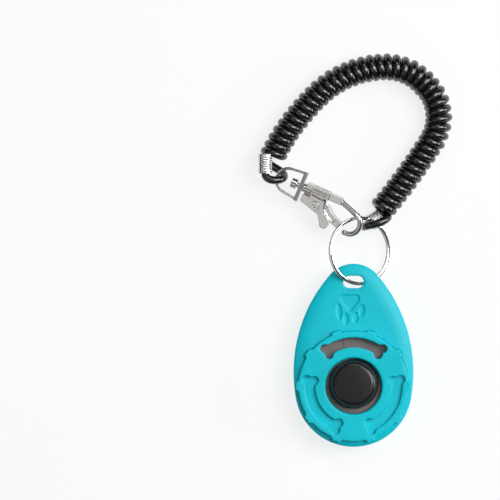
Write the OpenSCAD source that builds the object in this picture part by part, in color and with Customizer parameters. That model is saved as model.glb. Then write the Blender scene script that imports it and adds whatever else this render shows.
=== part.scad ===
// Training clicker on a coiled wrist strap: a teardrop case with a push button,
// a split ring in its lug, and a curly cord that clips back to the ring.
// Millimetres. The case lies on its flat back at z = 0, with the origin below the
// centre of its round trim ring, +Y towards the lug and +Z out of the front.

/* [Case] */
// Width of the case at its widest
case_w = 43.2; // [42.8:0.2:45]
// Distance from the button to the case's blunt end
blunt_end = 21.9; // [21.4:0.1:24]
// Distance from the button to the case's tip
tip_end = 44.1; // [42.5:0.1:46]
// Radius of the blunt end
blunt_r = 21.1; // [20.6:0.1:21.3]
// Radius of the two long sides
flank_r = 54; // [50:1:58]
// Height of the case without its trim ring
case_h = 10.6; // [10.2:0.1:11]
// Height of the joint between the two shells
split_h = 5.6; // [5.2:0.1:6]
// Radius of the back's rounded edge
edge_r = 2.4; // [1.5:0.1:2.8]
// Width of the front's soft roll-off to its edge
crown_w = 5.5; // [4:0.5:6]
// Height of the front's soft roll-off
crown_h = 1.4; // [1.1:0.1:1.4]
// Thickness of the side walls
wall = 1.8; // [1.4:0.1:2]

/* [Trim ring and button] */
// Outer diameter of the trim ring
trim_d = 39.6; // [39.3:0.1:39.7]
// Height of the trim ring's face
trim_h = 12.4; // [12:0.1:13]
// Diameter of the well around the button
well_d = 20.1; // [20:0.1:20.6]
// Diameter of the button cap
button_d = 17.2; // [16.6:0.1:17.3]
// Height of the top of the button
button_h = 15.3; // [14.6:0.1:16]

/* [Split ring] */
// Outer diameter of the split ring
ring_d = 25; // [24.6:0.1:25.2]
// Tilt of the ring as it lies in the lug, in degrees
ring_tilt = 28; // [26:0.5:30]

/* [Cord] */
// Diameter of the cord
cord_d = 3; // [2.8:0.1:3]
// Outer diameter of the coil that the cord is wound in
coil_d = 10.1; // [9.8:0.1:10.2]

/* [Clasp] */
// Width of the swivelling bail
bail_w = 11.2; // [10.6:0.1:11.6]
// Length of the swivelling bail
bail_len = 10.3; // [9.9:0.1:10.5]
// Thickness of the hook's rod
rod_d = 2.1; // [1.8:0.1:2.2]

/* [Hidden] */
$fn = 64;
eps = 0.01;
// How far a cutting shape starts below a face, and how deep a cut that only has to go through is
under = 1;
through = 5;

case_blue = [0.10, 0.72, 0.80];
warm_grey = [0.46, 0.41, 0.40];
black = [0.06, 0.06, 0.06];
steel = [0.72, 0.72, 0.74];
nickel = [0.82, 0.81, 0.80];

// The teardrop outline: a blunt circle, a tip circle and two flank arcs, all tangent.
blunt_y = blunt_r - blunt_end;
flank_x = flank_r - case_w / 2;
flank_y = blunt_y + sqrt(pow(flank_r - blunt_r, 2) - pow(flank_x, 2));
tip_gap = flank_r - tip_end;
tip_y = (pow(flank_x, 2) + pow(flank_y, 2) - pow(tip_gap, 2)) / (2 * (tip_gap + flank_y));
tip_r = tip_end - tip_y;
blunt_turn = atan2(flank_y - blunt_y, flank_x);
tip_turn = atan2(tip_y - flank_y, flank_x);
edge_steps = [0:15:90];

// Lug: a thin plate at the tip, open below, with a rounded oval hole
lug_y = 37.5;
lug_z = 9.1;
lug_hole_r = 2.2;
lug_hole_half = 1.5;
lug_chamfer = 0.6;
ramp_foot_y = 28.5;
ramp_top_y = 34.6;

// Inside of the case. The shells meet in a lip, and three posts carry the inner plate
floor_h = 1.6;
roof_z = 8.8;
cavity_end_y = 26;
plate_r = 18.8;
plate_t = 1.4;
plate_z = roof_z - plate_t;
boss_r = well_d / 2 - 0.15;
boss_h = 0.7;
boss_lip = 0.3;
arm_drop = 0.6;
arm_y = 12;
arm_end_y = 18.8;
arm_w = 20;
post_r = 1.4;
post_ring_r = 14.6;
post_angles = [30, 150, 270];
lip_t = 0.8;
lip_h = 0.9;
lip_clear = 0.05;

// Sunk paw on the front: a three-cornered pad, and toes as centre x, centre y, length, turn
pad_x = -1.3;
pad_y = 31.2;
pad_lobe_x = 1.7;
pad_lobe_r = 1.75;
pad_tip_y = -3.9;
pad_tip_r = 0.7;
paw_toes = [[-5.3, 26.8, 5.8, 4], [-2.8, 24.2, 4.2, 2], [0.7, 24.7, 3.8, -4], [2.9, 27.1, 4.4, -10]];
toe_w = 2;
paw_depth = 0.4;

// Button axis, a little off the well's centre because the button has side play
button_x = 0.1;
button_y = 0.8;
guide_clear = 0.15;
flange_r = 9.6;
flange_t = 1;
flange_z = plate_z - 0.1 - flange_t;
cap_roll = 2.4;
cap_roll_h = 2.9;
cap_crown = 0.3;
cap_flat_r = 2;
cap_wall = 1.5;
stem_r = 1.6;
stem_gap = 0.2;
rib_len = 12;
rib_t = 1.2;

// Click reed: a steel tongue from the clip at the tip end to below the button
reed_w = 7.5;
reed_t = 0.3;
reed_z = 4.6;
reed_root_y = 13.2;
reed_end_y = -12;
dimple_r = 3.4;
dimple_h = 0.35;
clip_t = 0.4;
clip_x = 0.3;
clip_gap = 0.2;

// Trim ring
trim_seat_z = 9.6;
trim_foot_h = 1;
trim_foot_d = trim_d - 0.2;
seat_gap = 0.02;
trim_lip = 0.95;
nub_count = 10;
nub_r = 0.9;
nub_pitch_r = trim_d / 2 + 0.25;
nub_half_deg = 2.3;
nub_foot_z = 9.8;
bone_r = 15.7;
bone_shaft_half = 1.8;
bone_end_deg = 37;
bone_lobe_r = 1.55;
bone_lobe_off = 1.4;
bone_count = 3;
bone_floor_z = 10.8;

// Split ring: centre, and the section of its two turns, which press on each other
ring_pos = [2.2, 48.7, 8.5];
ring_band = 1.3;
ring_turn_t = 0.8;
turn_bite = 0.02;

// Cord ends and coil: points on the cord's centre line, rounded to 0.1 mm
coil_z = 5.05;
coil_route = [[-28.9, 83.3, coil_z], [-25.4, 89.6, coil_z], [-20.3, 96.7, coil_z],
              [-13.4, 104.4, coil_z], [-6.8, 109.7, coil_z], [1, 113.3, coil_z],
              [8, 114.8, coil_z], [14, 114.9, coil_z], [20, 113.2, coil_z],
              [25.3, 109.3, coil_z], [29.5, 103.5, coil_z], [30.8, 96.3, coil_z],
              [29.4, 90.4, coil_z], [26.5, 85.5, coil_z], [20, 76.1, coil_z],
              [13.2, 67.2, coil_z], [9.8, 63.1, coil_z]];
ring_loop_route = [[12.7, 61.6, 6.9], [12.4, 60.4, 7.7], [10.6, 59.2, 8.4], [8, 58.4, 8.5],
                   [5.4, 57.8, 7.7], [3.9, 57.4, 5.4], [4.6, 57.8, 3], [6.6, 59.07, 2.15],
                   [8.6, 60.27, 2.15]];
clasp_loop_route = [[-31.9, 79.5, 8.4], [-31.9, 77, 8.5], [-31.4, 75.3, 8.7], [-29.8, 74.3, 8.8],
                    [-27.4, 74.2, 8.4], [-25.4, 74.9, 6.8], [-25.1, 76.2, 4.5], [-26.4, 77.6, 2.9],
                    [-28.4, 78.8, 2.5], [-30.5, 80.2, 2.4], [-31.4, 82, 2.5], [-31.2, 84.3, 2.9]];
cord_sides = 8;
coil_sides = 12;
// Directions that the two end loops never run along
ring_loop_side = [-0.28, 0.96, 0];
clasp_loop_side = [-0.3, -0.7, 0.65];

// Crimped sleeves on the cord's two ends
ring_ferrule_pos = [6, 58.7, 2.15];
ring_ferrule_turn = [-90, 0, -59];
ring_ferrule_len = 4.9;
ring_ferrule_half_w = 3.2;
clasp_ferrule_pos = [-31.9, 76.6, 8.4];
clasp_ferrule_turn = [-90, 0, 0];
clasp_ferrule_len = 7;
clasp_ferrule_half_w = 2.6;
ferrule_r = 2.05;
ferrule_end_t = 1.4;
cord_clear = 0.04;
ridge_t = 0.5;
ridge_h = 0.15;
ridge_count = 4;
ridge_margin = 0.8;

// Clasp frame: origin at the bail's base, x along the clasp to the hook
clasp_pos = [-18.8, 71.9, 8.05];
clasp_turn = [20, -11, -24];
bail_wire_r = 0.6;
// A bead that is a little larger than the wire or rod closes each bend
bend_bead = 0.04;
tip_flat_x = 1;
bail_apex_r = 4.4;
// The bail lies level, so it is turned back against the clasp's own roll
bail_turn = -14;
bail_strap_t = 1.5;
bail_strap_h = 2.8;
pin_r = 1;
pin_clear = 0.05;
pin_head_r = 1.95;
pin_head_t = 2.1;
pin_neck = 0.9;
pin_end_x = 3.4;
barrel_gap = 0.15;
barrel_end_x = 4.15;
barrel_r = 1.7;
body_start = 2;
body_end = 11.2;
neck_start = 11;
neck_step = 0.2;
neck_side_step = 0.3;
spine_low = -0.4;
spine_top = 2.4;
spine_end = 16.2;
spine_h = 3;
hook_x = 21;
hook_y = -5.3;
hook_r = 4.2;
hook_from_deg = -95;
hook_to_deg = 70;
rod_root = 0.6;
slot_start = 4.4;
slot_len = 6;
slot_w = 0.45;
slot_depth = 0.35;
slot_first = 0.7;
slot_pitch = 1;
top_slot_w = 0.6;
web_h = 1.7;
web_points = [[2, 0], [2, -4.4], [8.2, -6.3], [9.3, -5.4], [9.3, 0]];
rivet_x = 7.25;
rivet_y = -4.2;
rivet_r = 1;
rivet_proud = 0.2;
rivet_head_r = 1.8;
rivet_head_t = 0.4;
rivet_eye_r = 0.6;
rivet_eye_depth = 0.4;

// Gate lever: two cheeks round the hook's body, a thumb tab, and a curved finger to the hook's tip
cheek_in = 0.95;
cheek_t = 0.7;
cheek_points = [[4.7, -0.9], [4.4, -1.95], [1.6, -1.95], [1.6, -4.6], [9.4, -6.8], [10.9, -9.3],
                [12.6, -9.3], [14, -7.2], [11.6, -5.5], [10.5, -3.2], [10.2, -1.4]];
tab_x = 12.6;
tab_y = -9.3;
tab_r = 1.65;
tab_root = [[11.4, -7], [tab_x - tab_r, tab_y], [tab_x + tab_r, tab_y], [14, -7.2], [12.4, -5.6]];
finger_x = 21.3;
finger_y = 5.2;
finger_in_r = 11.9;
finger_out_r = 14.5;
finger_from_deg = 218;
finger_to_deg = 257;
finger_h = 2.2;
groove_edge = 0.6;
groove_depth = 0.5;
groove_from_deg = 221;
groove_to_deg = 246;
spring_r = 1.6;
spring_z = 0.1;
spring_pocket_r = 1.8;
spring_pocket_z = -0.1;
spring_wire = 0.38;
spring_pitch = 0.95 * spring_wire;

function unit(v) = v / norm(v);

// A smooth curve through the points p, with n steps between each two
function spline_at(a, b, c, d, t) =
    0.5 * (2 * b + (c - a) * t + (2 * a - 5 * b + 4 * c - d) * t * t
           + (3 * b - a - 3 * c + d) * t * t * t);
function smooth_route(p, n) =
    let (last = len(p) - 1)
    concat([for (i = [0:last - 1], s = [0:n - 1])
                spline_at(p[max(i - 1, 0)], p[i], p[i + 1], p[min(i + 2, last)], s / n)],
           [p[last]]);

// A round tube along a path; side is a direction that the path never runs along
module tube(path, r, sides, side) {
    last = len(path) - 1;
    points = [for (i = [0:last])
        let (along = unit(path[min(i + 1, last)] - path[max(i - 1, 0)]),
             across = unit(cross(along, side)),
             up = cross(across, along))
        for (k = [0:sides - 1])
            path[i] + r * (cos(k * 360 / sides) * across + sin(k * 360 / sides) * up)];
    skin = [for (i = [0:last - 1], k = [0:sides - 1])
        let (next = (k + 1) % sides)
        [i * sides + k, i * sides + next, (i + 1) * sides + next, (i + 1) * sides + k]];
    start_cap = [for (k = [0:sides - 1]) sides - 1 - k];
    end_cap = [for (k = [0:sides - 1]) last * sides + k];
    polyhedron(points, concat([start_cap], skin, [end_cap]), convexity = 6);
}

// Points of the teardrop outline, moved in by the given amount, one tangent arc after another
function arc(centre, r, from, to, steps) =
    [for (i = [0:steps - 1])
        let (a = from + (to - from) * i / steps)
        centre + r * [cos(a), sin(a)]];
function teardrop_points(inset) = concat(
    arc([0, blunt_y], blunt_r - inset, 180 + blunt_turn, 360 - blunt_turn, 44),
    arc([-flank_x, flank_y], flank_r - inset, -blunt_turn, tip_turn, 18),
    arc([0, tip_y], tip_r - inset, tip_turn, 180 - tip_turn, 24),
    arc([flank_x, flank_y], flank_r - inset, 180 - tip_turn, 180 + blunt_turn, 18));

module teardrop(inset) {
    polygon(teardrop_points(inset));
}

// A teardrop block through a list of levels, each with its inset and its height
module teardrop_loft(levels) {
    count = len(teardrop_points(0));
    last = len(levels) - 1;
    points = [for (level = levels, p = teardrop_points(level[0])) [p[0], p[1], level[1]]];
    skin = [for (i = [0:last - 1], k = [0:count - 1])
        let (next = (k + 1) % count)
        [i * count + k, (i + 1) * count + k, (i + 1) * count + next, i * count + next]];
    low_cap = [for (k = [0:count - 1]) k];
    high_cap = [for (k = [0:count - 1]) last * count + count - 1 - k];
    polyhedron(points, concat([low_cap], skin, [high_cap]), convexity = 4);
}

module oval(half, r) {
    square([2 * half, 2 * r], center = true);
    for (s = [-1, 1]) translate([s * half, 0]) circle(r);
}

// The space below the lug plate, with a ramp up from the flat back
module lug_clearance() {
    rotate([90, 0, 90])
        translate([0, 0, -case_w])
            linear_extrude(2 * case_w)
                polygon([[ramp_foot_y, -under], [ramp_foot_y, 0], [ramp_top_y, lug_z],
                         [tip_end + through, lug_z], [tip_end + through, -under]]);
}

module cavity_outline(inset) {
    intersection() {
        teardrop(inset);
        translate([-case_w, -2 * blunt_end]) square([2 * case_w, 2 * blunt_end + cavity_end_y - inset]);
    }
}

module bottom_shell() {
    color(case_blue) {
        difference() {
            teardrop_loft(concat(
                [for (a = edge_steps) [edge_r * (1 - sin(a)), edge_r * (1 - cos(a))]],
                [[0, split_h]]));
            lug_clearance();
            translate([0, 0, floor_h]) linear_extrude(split_h) cavity_outline(wall);
        }
        translate([0, 0, floor_h])
            linear_extrude(split_h + lip_h - floor_h)
                difference() {
                    cavity_outline(wall + lip_clear);
                    cavity_outline(wall + lip_t);
                }
        for (a = post_angles)
            rotate(a)
                translate([post_ring_r, 0, floor_h - eps])
                    cylinder(r = post_r, h = plate_z - floor_h + eps);
    }
}

module almond(length, width) {
    r = (length * length + width * width) / (4 * width);
    intersection() {
        translate([r - width / 2, 0]) circle(r);
        translate([width / 2 - r, 0]) circle(r);
    }
}

module paw() {
    translate([pad_x, pad_y])
        hull() {
            for (s = [-1, 1]) translate([s * pad_lobe_x, 0]) circle(pad_lobe_r, $fn = 32);
            translate([0, pad_tip_y]) circle(pad_tip_r, $fn = 32);
        }
    for (t = paw_toes)
        translate([t[0], t[1]])
            rotate(t[3])
                almond(t[2], toe_w);
}

// Outline of one bone, bent along a circle round the button, pointing up
module bone() {
    difference() {
        circle(bone_r + bone_shaft_half, $fn = 96);
        circle(bone_r - bone_shaft_half, $fn = 96);
        rotate(90 + bone_end_deg) translate([-trim_d, 0]) square([2 * trim_d, trim_d]);
        rotate(90 - bone_end_deg) translate([-trim_d, -trim_d]) square([2 * trim_d, trim_d]);
    }
    for (s = [-1, 1], t = [-1, 1])
        rotate(90 + s * (bone_end_deg + 1))
            translate([bone_r + t * bone_lobe_off, 0])
                circle(bone_lobe_r);
}

module top_shell() {
    color(case_blue)
        difference() {
            teardrop_loft(concat(
                [[0, split_h]],
                [for (a = edge_steps)
                    [crown_w * (1 - cos(a)), case_h - crown_h * (1 - sin(a))]]));
            lug_clearance();
            translate([0, 0, split_h - under])
                linear_extrude(roof_z - split_h + under) cavity_outline(wall);
            translate([0, 0, trim_seat_z])
                cylinder(d = trim_foot_d + 2 * seat_gap, h = through, $fn = 128);
            translate([0, 0, nub_foot_z]) linear_extrude(through) trim_outline(seat_gap);
            translate([0, 0, roof_z - under]) cylinder(d = well_d, h = through);
            translate([0, 0, roof_z - under]) linear_extrude(through) bone();
            translate([0, 0, case_h - paw_depth]) linear_extrude(through) paw();
            translate([0, lug_y, lug_z - under]) linear_extrude(through) oval(lug_hole_half, lug_hole_r);
            for (s = [-1, 1])
                translate([s * lug_hole_half, lug_y, case_h - lug_chamfer])
                    cylinder(r1 = lug_hole_r, r2 = lug_hole_r + 2 * lug_chamfer, h = 2 * lug_chamfer);
        }
}

// The trim ring's outer edge, with its pairs of nubs
module trim_outline(gap) {
    rotate(180 / nub_count) circle(d = trim_d + 2 * gap, $fn = 128);
    for (i = [0:nub_count - 1], s = [-1, 1])
        rotate(90 + (i + 0.5) * 360 / nub_count + s * nub_half_deg)
            translate([nub_pitch_r, 0])
                circle(nub_r + gap, $fn = 24);
}

module trim_ring() {
    color(case_blue)
        difference() {
            union() {
                translate([0, 0, trim_seat_z]) cylinder(d = trim_foot_d, h = trim_foot_h, $fn = 128);
                translate([0, 0, nub_foot_z]) linear_extrude(trim_h - nub_foot_z) trim_outline(0);
            }
            translate([0, 0, trim_seat_z - under]) cylinder(d = well_d, h = through);
            translate([0, 0, trim_h - trim_lip])
                cylinder(d1 = well_d, d2 = well_d + 4 * trim_lip, h = 2 * trim_lip);
            translate([0, 0, trim_seat_z - under]) linear_extrude(through) bone();
            for (i = [1:bone_count - 1])
                rotate(i * 360 / bone_count)
                    translate([0, 0, bone_floor_z])
                        linear_extrude(through) bone();
        }
}

module inner_plate() {
    guide_r = button_d / 2 + guide_clear;
    arm_top = plate_z + plate_t - arm_drop;
    color(warm_grey)
        difference() {
            union() {
                translate([0, 0, plate_z]) cylinder(r = plate_r, h = plate_t);
                translate([-arm_w / 2, 0, plate_z]) cube([arm_w, arm_end_y, plate_t - arm_drop]);
                translate([0, 0, plate_z]) cylinder(r = boss_r, h = plate_t + boss_h);
            }
            translate([button_x, button_y, plate_z - under]) cylinder(r = guide_r, h = through);
            translate([button_x, button_y, plate_z + plate_t + boss_h - boss_lip])
                cylinder(r1 = guide_r, r2 = guide_r + 2 * boss_lip, h = 2 * boss_lip);
            translate([-arm_w / 2, arm_y, arm_top]) cube([arm_w, arm_w, through]);
        }
}

module reed_clip() {
    top_z = plate_z + plate_t - arm_drop;
    color(steel)
        translate([clip_x - reed_w / 2, 0, 0]) {
            translate([0, arm_y + clip_gap / 2, top_z]) cube([reed_w, arm_end_y - arm_y, clip_t]);
            translate([0, arm_end_y, reed_z]) cube([reed_w, clip_t, top_z + clip_t - reed_z]);
            translate([0, reed_root_y + clip_gap, reed_z])
                cube([reed_w, arm_end_y - reed_root_y, reed_t]);
        }
}

module click_reed() {
    color(steel) {
        translate([clip_x - reed_w / 2, reed_end_y, reed_z])
            cube([reed_w, reed_root_y - reed_end_y, reed_t]);
        translate([clip_x, button_y, reed_z + reed_t - eps])
            cylinder(r1 = dimple_r, r2 = dimple_r / 2, h = dimple_h + eps);
    }
}

module button_cap() {
    r = button_d / 2;
    foot = flange_z + flange_t;
    shoulder = button_h - cap_roll_h;
    color(black)
        translate([button_x, button_y, 0])
            rotate_extrude($fn = 96)
                difference() {
                    polygon(concat(
                        [[0, foot], [r, foot]],
                        [for (a = [0:15:90])
                            [r - cap_roll * (1 - cos(a)), shoulder + (cap_roll_h - cap_crown) * sin(a)]],
                        [[cap_flat_r, button_h], [0, button_h]]));
                    translate([-under, foot - under])
                        square([r - cap_wall + under, shoulder - foot + under]);
                }
}

// The cap's inner part: a flange that stops it under the inner plate, ribs, and the stem on the reed
module button_post() {
    stem_foot = reed_z + reed_t + dimple_h + stem_gap;
    roof = button_h - cap_roll_h;
    color(warm_grey)
        translate([button_x, button_y, 0]) {
            translate([0, 0, flange_z]) cylinder(r = flange_r, h = flange_t);
            translate([0, 0, stem_foot]) cylinder(r = stem_r, h = roof - stem_foot);
            for (a = [0, 90])
                rotate(a)
                    translate([-rib_len / 2, -rib_t / 2, flange_z + flange_t - eps])
                        cube([rib_len, rib_t, roof - flange_z - flange_t + eps]);
        }
}

// One turn of the split ring's flat wire, as a section
module ring_turn() {
    half = (ring_band - ring_turn_t) / 2;
    square([2 * half, ring_turn_t], center = true);
    for (s = [-1, 1]) translate([s * half, 0]) circle(ring_turn_t / 2, $fn = 24);
}

module split_ring() {
    color(nickel)
        translate(ring_pos)
            rotate([0, ring_tilt, 0])
                rotate_extrude($fn = 128)
                    for (s = [-1, 1])
                        translate([(ring_d - ring_band) / 2, s * (ring_turn_t / 2 - turn_bite)])
                            ring_turn();
}

// A crimped sleeve from its mouth at z = 0 up, with a blind hole for the cord
module ferrule(length, half_w) {
    ridge_step = (length - 2 * ridge_margin - ridge_t) / (ridge_count - 1);
    difference() {
        union() {
            linear_extrude(length) oval(half_w - ferrule_r, ferrule_r - ridge_h);
            for (i = [0:ridge_count - 1])
                translate([0, 0, ridge_margin + i * ridge_step])
                    linear_extrude(ridge_t) oval(half_w - ferrule_r, ferrule_r);
        }
        translate([0, 0, -under]) cylinder(d = cord_d + cord_clear, h = length + under - ferrule_end_t);
    }
}

module ring_end_ferrule() {
    color(nickel)
        translate(ring_ferrule_pos)
            rotate(ring_ferrule_turn)
                ferrule(ring_ferrule_len, ring_ferrule_half_w);
}

module clasp_end_ferrule() {
    color(nickel)
        translate(clasp_ferrule_pos)
            rotate(clasp_ferrule_turn)
                ferrule(clasp_ferrule_len, clasp_ferrule_half_w);
}

module ring_end_loop() {
    color(black) tube(smooth_route(ring_loop_route, 3), cord_d / 2, cord_sides, ring_loop_side);
}

module clasp_end_loop() {
    color(black) tube(smooth_route(clasp_loop_route, 3), cord_d / 2, cord_sides, clasp_loop_side);
}

module coil() {
    color(black) tube(smooth_route(coil_route, 4), coil_d / 2, coil_sides, [0, 0, 1]);
}

module at_clasp() {
    translate(clasp_pos) rotate(clasp_turn) children();
}

module rod(from, to, r) {
    run = to - from;
    translate(from)
        rotate([0, 0, atan2(run[1], run[0])])
            rotate([0, 90, 0])
                cylinder(r = r, h = norm(run), $fn = 32);
}

module swivel_bail() {
    leg_y = bail_w / 2 - bail_wire_r;
    apex_x = bail_apex_r + bail_wire_r - bail_len;
    reach = norm([apex_x, leg_y]);
    touch = atan2(leg_y, -apex_x) + acos(bail_apex_r / reach);
    color(nickel)
        at_clasp() rotate([bail_turn, 0, 0]) {
            difference() {
                cube([bail_strap_t, bail_w, bail_strap_h], center = true);
                rotate([0, 90, 0]) cylinder(r = pin_r + pin_clear, h = through, center = true);
            }
            for (s = [-1, 1]) {
                bend = [apex_x + bail_apex_r * cos(touch), s * bail_apex_r * sin(touch), 0];
                rod([0, s * leg_y, 0], bend, bail_wire_r);
                translate(bend) rotate([0, 90, 0]) sphere(bail_wire_r + bend_bead, $fn = 32);
            }
            translate([apex_x, 0, 0])
                rotate(touch)
                    rotate_extrude(angle = 360 - 2 * touch)
                        translate([bail_apex_r, 0]) circle(bail_wire_r, $fn = 24);
        }
}

module swivel_pin() {
    head_x = bail_strap_t / 2 + pin_neck;
    color(nickel)
        at_clasp()
            rotate([0, 90, 0]) {
                translate([0, 0, -head_x - pin_head_t]) cylinder(r = pin_head_r, h = pin_head_t);
                translate([0, 0, -head_x - eps]) cylinder(r = pin_r, h = head_x + eps + pin_end_x);
            }
}

// The hook's solid shape before its holes and slots are cut
module hook_blank() {
    spine_mid = (spine_low + spine_top) / 2;
    barrel_x = bail_strap_t / 2 + barrel_gap;
    rod_r = rod_d / 2;
    rod_end = [hook_x + hook_r * cos(hook_to_deg), hook_y + hook_r * sin(hook_to_deg), 0];
    tip = [hook_x + hook_r * cos(hook_from_deg), hook_y + hook_r * sin(hook_from_deg), 0];
    translate([barrel_x, 0, 0])
        rotate([0, 90, 0])
            cylinder(r = barrel_r, h = barrel_end_x - barrel_x);
    translate([body_start, spine_low, -spine_h / 2])
        cube([body_end - body_start, spine_top - spine_low, spine_h]);
    translate([neck_start, spine_low + neck_step, -spine_h / 2 + neck_side_step])
        cube([spine_end - neck_start, spine_top - spine_low - 2 * neck_step, spine_h - 2 * neck_side_step]);
    translate([0, 0, -web_h / 2]) linear_extrude(web_h) polygon(web_points);
    rod([spine_end - rod_root, spine_mid, 0], rod_end, rod_r);
    translate([hook_x, hook_y, 0])
        rotate(hook_from_deg)
            rotate_extrude(angle = hook_to_deg - hook_from_deg)
                translate([hook_r, 0]) circle(rod_r, $fn = 32);
    translate(rod_end) rotate([0, 90, 0]) sphere(rod_r + bend_bead, $fn = 32);
    translate(tip)
        rotate([0, 90, 0])
            difference() {
                sphere(rod_r + bend_bead, $fn = 32);
                translate([0, 0, -tip_flat_x - rod_d]) cylinder(d = 2 * rod_d, h = rod_d);
            }
}

module hook_body() {
    color(nickel)
        at_clasp()
            difference() {
                hook_blank();
                rotate([0, 90, 0]) cylinder(r = pin_r, h = pin_end_x);
                translate([rivet_x, rivet_y, -through]) cylinder(r = rivet_r, h = 2 * through);
                translate([rivet_x, rivet_y, spring_pocket_z]) cylinder(r = spring_pocket_r, h = through);
                for (s = [-1, 1], row = [0, 1])
                    translate([slot_start, spine_low + slot_first + row * slot_pitch,
                               s * spine_h / 2 - slot_depth])
                        cube([slot_len, slot_w, 2 * slot_depth]);
                translate([slot_start, spine_top - slot_depth, -top_slot_w / 2])
                    cube([slot_len, 2 * slot_depth, top_slot_w]);
            }
}

module gate_lever() {
    cheek_out = cheek_in + cheek_t;
    color(nickel)
        at_clasp()
            difference() {
                union() {
                    for (side_z = [cheek_in, -cheek_out])
                        translate([0, 0, side_z]) linear_extrude(cheek_t) cheek_outline();
                    translate([0, 0, -cheek_out]) linear_extrude(2 * cheek_out) thumb_outline();
                    translate([0, 0, -finger_h / 2])
                        linear_extrude(finger_h)
                            finger_band(finger_in_r, finger_out_r, finger_from_deg, finger_to_deg);
                }
                translate([rivet_x, rivet_y, -through]) cylinder(r = rivet_r + pin_clear, h = 2 * through);
                translate([0, 0, finger_h / 2 - groove_depth])
                    linear_extrude(through)
                        finger_band(finger_in_r + groove_edge, finger_out_r - groove_edge,
                                    groove_from_deg, groove_to_deg);
            }
}

module cheek_outline() {
    polygon(cheek_points);
    translate([tab_x, tab_y]) circle(tab_r);
}

module thumb_outline() {
    translate([tab_x, tab_y]) circle(tab_r);
    polygon(tab_root);
}

// A stretch of a circular band, cut at two angles
module finger_band(inner, outer, from, to) {
    reach = 2 * outer;
    translate([finger_x, finger_y])
        difference() {
            circle(outer, $fn = 96);
            circle(inner, $fn = 96);
            rotate(from) translate([-reach, -reach]) square([2 * reach, reach]);
            rotate(to) translate([-reach, 0]) square([2 * reach, reach]);
        }
}

module gate_rivet() {
    cheek_out = cheek_in + cheek_t;
    color(nickel)
        at_clasp()
            translate([rivet_x, rivet_y, 0])
                difference() {
                    union() {
                        cylinder(r = rivet_r, h = 2 * (cheek_out + rivet_proud), center = true);
                        for (s = [-1, 1])
                            translate([0, 0, s * (cheek_out + pin_clear + rivet_head_t / 2)])
                                cylinder(r = rivet_head_r, h = rivet_head_t, center = true);
                    }
                    translate([0, 0, cheek_out + rivet_proud - rivet_eye_depth])
                        cylinder(r = rivet_eye_r, h = through);
                }
}

module gate_spring() {
    color(steel)
        at_clasp()
            translate([rivet_x, rivet_y, spring_z])
                for (turn = [0, 1])
                    translate([0, 0, turn * spring_pitch])
                        rotate_extrude()
                            translate([spring_r - spring_wire / 2, 0]) circle(spring_wire / 2, $fn = 16);
}

bottom_shell();
top_shell();
trim_ring();
inner_plate();
reed_clip();
click_reed();
button_cap();
button_post();
split_ring();
ring_end_ferrule();
ring_end_loop();
coil();
clasp_end_loop();
clasp_end_ferrule();
swivel_bail();
swivel_pin();
hook_body();
gate_lever();
gate_rivet();
gate_spring();
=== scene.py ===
"""Training clicker with a coiled wrist cord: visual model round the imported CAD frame."""

import math

import bmesh
import bpy
import numpy as np
from mathutils import Euler, Matrix, Vector


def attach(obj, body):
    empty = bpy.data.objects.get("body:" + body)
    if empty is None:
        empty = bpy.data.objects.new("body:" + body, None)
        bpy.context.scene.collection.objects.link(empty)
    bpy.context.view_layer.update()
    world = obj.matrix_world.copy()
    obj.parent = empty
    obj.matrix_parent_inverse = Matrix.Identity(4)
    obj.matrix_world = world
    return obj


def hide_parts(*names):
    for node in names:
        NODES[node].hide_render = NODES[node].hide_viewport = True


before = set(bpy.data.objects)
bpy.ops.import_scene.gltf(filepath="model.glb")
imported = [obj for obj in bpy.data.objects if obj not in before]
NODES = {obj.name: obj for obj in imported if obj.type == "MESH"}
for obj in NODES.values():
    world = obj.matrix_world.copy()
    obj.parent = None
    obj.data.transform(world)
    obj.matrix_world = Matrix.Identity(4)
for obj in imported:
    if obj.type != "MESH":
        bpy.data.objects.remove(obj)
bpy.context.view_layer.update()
MM = 0.001
scene = bpy.context.scene

# ---------------------------------------------------------------- camera
# In millimetres: the view's centre, its width at SUBJECT_Z, and the camera's height
VIEW_X, VIEW_Y, VIEW_W = -37.3, 49.0, 180.15
CAMERA_Z, SUBJECT_Z = 3000.0, 9
SENSOR_W = 36
NEAR_M, FAR_M = 0.5, 10
cam_data = bpy.data.cameras.new("camera")
cam_data.sensor_width = SENSOR_W
cam_data.lens = SENSOR_W * (CAMERA_Z - SUBJECT_Z) / VIEW_W
cam_data.clip_start = NEAR_M
cam_data.clip_end = FAR_M
camera = bpy.data.objects.new("camera", cam_data)
camera.location = (VIEW_X * MM, VIEW_Y * MM, CAMERA_Z * MM)
scene.collection.objects.link(camera)
scene.camera = camera
scene.view_settings.view_transform = "Standard"

# ---------------------------------------------------------------- cord route
CORD_R = 1.5
# The drawn cord is this much thinner, so that it clears the ring and the bail when they swing
CORD_EASE = 0.04
CORD_SIDES = 18
CORD_STEP = 0.75
HELIX_R = 3.55
COIL_Z = 5.05
TURNS = 43
TURN_POINTS = 32
FIRST_DEG, LAST_DEG = -41, 30
LEAD_IN, LEAD_OUT = -0.5, 0.3
CORE_STEP, CORE_FINE = 0.25, 12
WOBBLE, WOBBLE_RATE, WOBBLE_START = 0.03, 0.9, 1.3
LOOP_FINE = 8
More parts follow.
